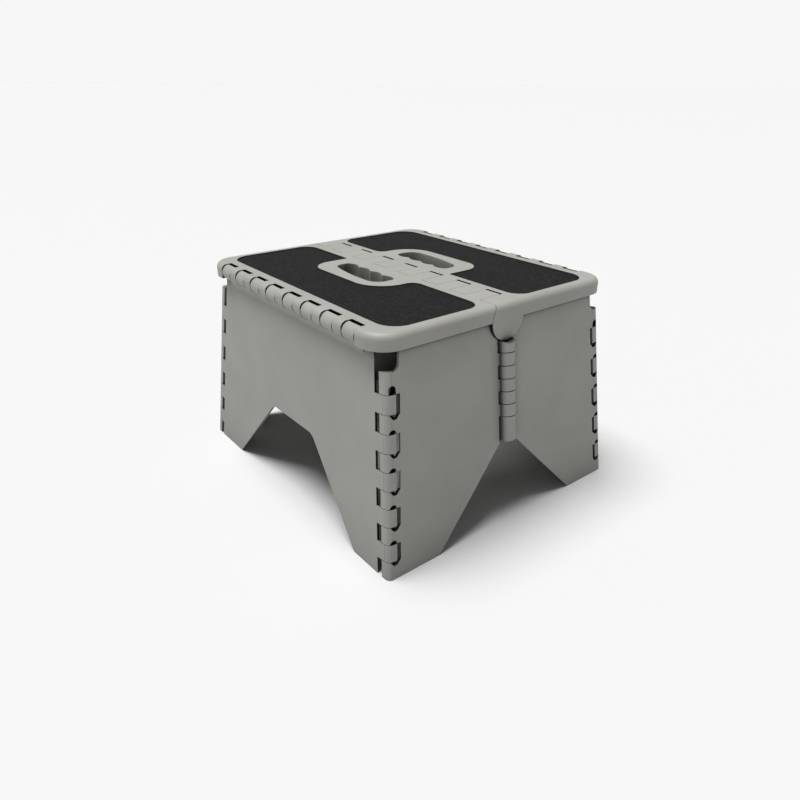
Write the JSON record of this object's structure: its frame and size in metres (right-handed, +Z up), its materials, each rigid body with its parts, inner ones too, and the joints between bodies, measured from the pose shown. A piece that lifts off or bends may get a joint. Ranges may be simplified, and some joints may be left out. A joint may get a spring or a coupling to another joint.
{
  "type": "caravan entry step",
  "caption": "Folding entry step in moulded plastic: hinged top halves over splayed side panels, end leaves that fold inwards, finger-grip hand holes and black non-slip tread pads.",
  "frame": {"origin": "on the floor under the middle of the step", "axes": "+X across the centre hinge towards the right half, +Y along the centre hinge towards the rear end, +Z up"},
  "size_m": [0.3106, 0.361, 0.2235],
  "materials": {
    "shell": "fine moulded grain",
    "pad": "gritty non-slip",
    "pin": "plain"
  },
  "bodies": {
    "side_left": {"side_panel_left": "shell", "top_pin_left": "pin", "corner_pin_front_left": "pin", "corner_pin_rear_left": "pin"},
    "top_left": {"top_left": "shell", "tread_pad_left": "pad", "centre_pin": "pin"},
    "top_right": {"top_right": "shell", "tread_pad_right": "pad"},
    "side_right": {"side_panel_right": "shell", "top_pin_right": "pin", "corner_pin_front_right": "pin", "corner_pin_rear_right": "pin"},
    "front_leaf_left": {"front_leaf_left": "shell"},
    "front_leaf_right": {"front_leaf_right": "shell", "leaf_pin_front": "pin"},
    "rear_leaf_left": {"rear_leaf_left": "shell"},
    "rear_leaf_right": {"rear_leaf_right": "shell", "leaf_pin_rear": "pin"}
  },
  "joints": [
    {"name": "fold", "type": "hinge", "parent": "side_left", "child": "top_left", "pos_m": [-0.14, 0, 0.215], "axis": [0, -1, 0], "range_deg": [0, 74]},
    {"name": "centre_hinge", "type": "hinge", "parent": "top_left", "child": "top_right", "pos_m": [0, 0, 0.2085], "axis": [0, 1, 0], "range_deg": [0, 156]},
    {"name": "top_hinge_right", "type": "hinge", "parent": "top_right", "child": "side_right", "pos_m": [0.14, 0, 0.215], "axis": [0, -1, 0], "range_deg": [0, 74]},
    {"name": "corner_front_left", "type": "hinge", "parent": "side_left", "child": "front_leaf_left", "pos_m": [-0.1498, -0.175, 0], "axis": [0.0855, 0.1233, 0.9887], "range_deg": [0, 80]},
    {"name": "corner_front_right", "type": "hinge", "parent": "side_right", "child": "front_leaf_right", "pos_m": [0.1498, -0.175, 0], "axis": [-0.0855, 0.1233, 0.9887], "range_deg": [-80, 0]},
    {"name": "corner_rear_left", "type": "hinge", "parent": "side_left", "child": "rear_leaf_left", "pos_m": [-0.1498, 0.175, 0], "axis": [0.0855, -0.1233, 0.9887], "range_deg": [-80, 0]},
    {"name": "corner_rear_right", "type": "hinge", "parent": "side_right", "child": "rear_leaf_right", "pos_m": [0.1498, 0.175, 0], "axis": [-0.0855, -0.1233, 0.9887], "range_deg": [0, 80]}
  ],
  "couplings": [
    {"joint": "centre_hinge", "follows": "fold", "ratio": 2.0835},
    {"joint": "top_hinge_right", "follows": "fold", "ratio": 1},
    {"joint": "corner_front_left", "follows": "fold", "ratio": 1.0736},
    {"joint": "corner_front_right", "follows": "fold", "ratio": -1.0736},
    {"joint": "corner_rear_left", "follows": "fold", "ratio": -1.0736},
    {"joint": "corner_rear_right", "follows": "fold", "ratio": 1.0736}
  ]
}
